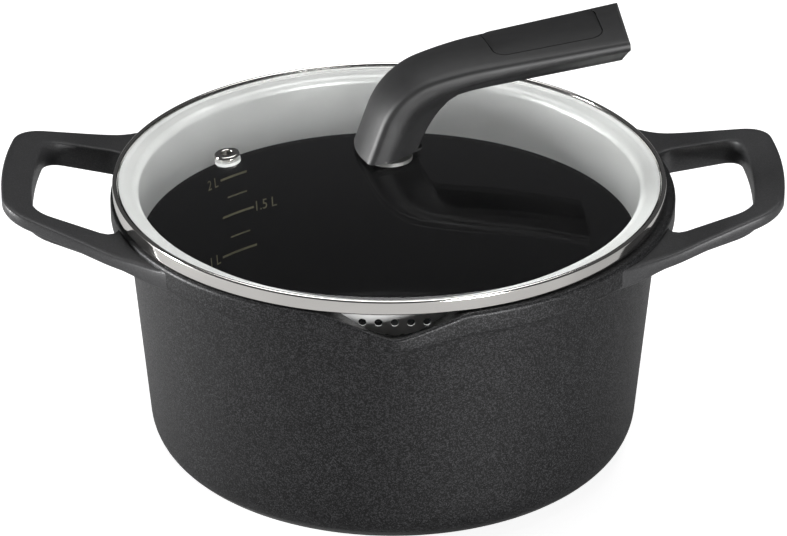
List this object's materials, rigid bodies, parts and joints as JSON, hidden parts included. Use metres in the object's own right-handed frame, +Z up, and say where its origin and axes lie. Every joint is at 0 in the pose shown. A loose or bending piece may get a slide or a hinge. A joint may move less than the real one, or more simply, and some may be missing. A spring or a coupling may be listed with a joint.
{
  "type": "saucepan with glass lid",
  "caption": "Cast saucepan with flat side handles and a pouring notch, under a domed glass lid with a steel strainer skirt and an angled grip.",
  "frame": {"origin": "centre of the pot's flat base, on the surface it stands on", "axes": "+Z up along the pot's axis; +X through the right-hand handle; the pouring notch faces -Y"},
  "size_m": [0.3032, 0.2256, 0.1686],
  "materials": {
    "cast_body": "cast, non-stick coated, satin charcoal with a fine metallic speckle",
    "cast_handles": "cast, satin dark grey",
    "base_disc": "turned",
    "lid_glass": "clear tempered",
    "polished_steel": "polished stainless steel",
    "skirt_steel": "satin stainless steel",
    "grip_plastic": "matte black, heat resistant",
    "inlay_plastic": "fine matte black",
    "gasket_rubber": "silicone",
    "insert_brass": "knurled, moulded in"
  },
  "bodies": {
    "pot": {"pot_body": "cast_body", "left_handle": "cast_handles", "right_handle": "cast_handles", "induction_disc": "base_disc"},
    "lid": {"glass_dome": "lid_glass", "rim_ring": "polished_steel", "strainer_skirt": "skirt_steel", "vent_eyelet": "polished_steel", "vent_washer": "skirt_steel", "lid_grip": "grip_plastic", "grip_inlay": "inlay_plastic", "foot_gasket": "gasket_rubber", "glass_grommet": "gasket_rubber", "threaded_insert": "insert_brass", "screw_washer": "skirt_steel", "grip_screw": "skirt_steel"}
  },
  "joints": [
    {"name": "lid_lift", "type": "slide", "parent": "pot", "child": "lid", "axis": [0, 0, 1], "range_m": [0, 0.16]}
  ]
}
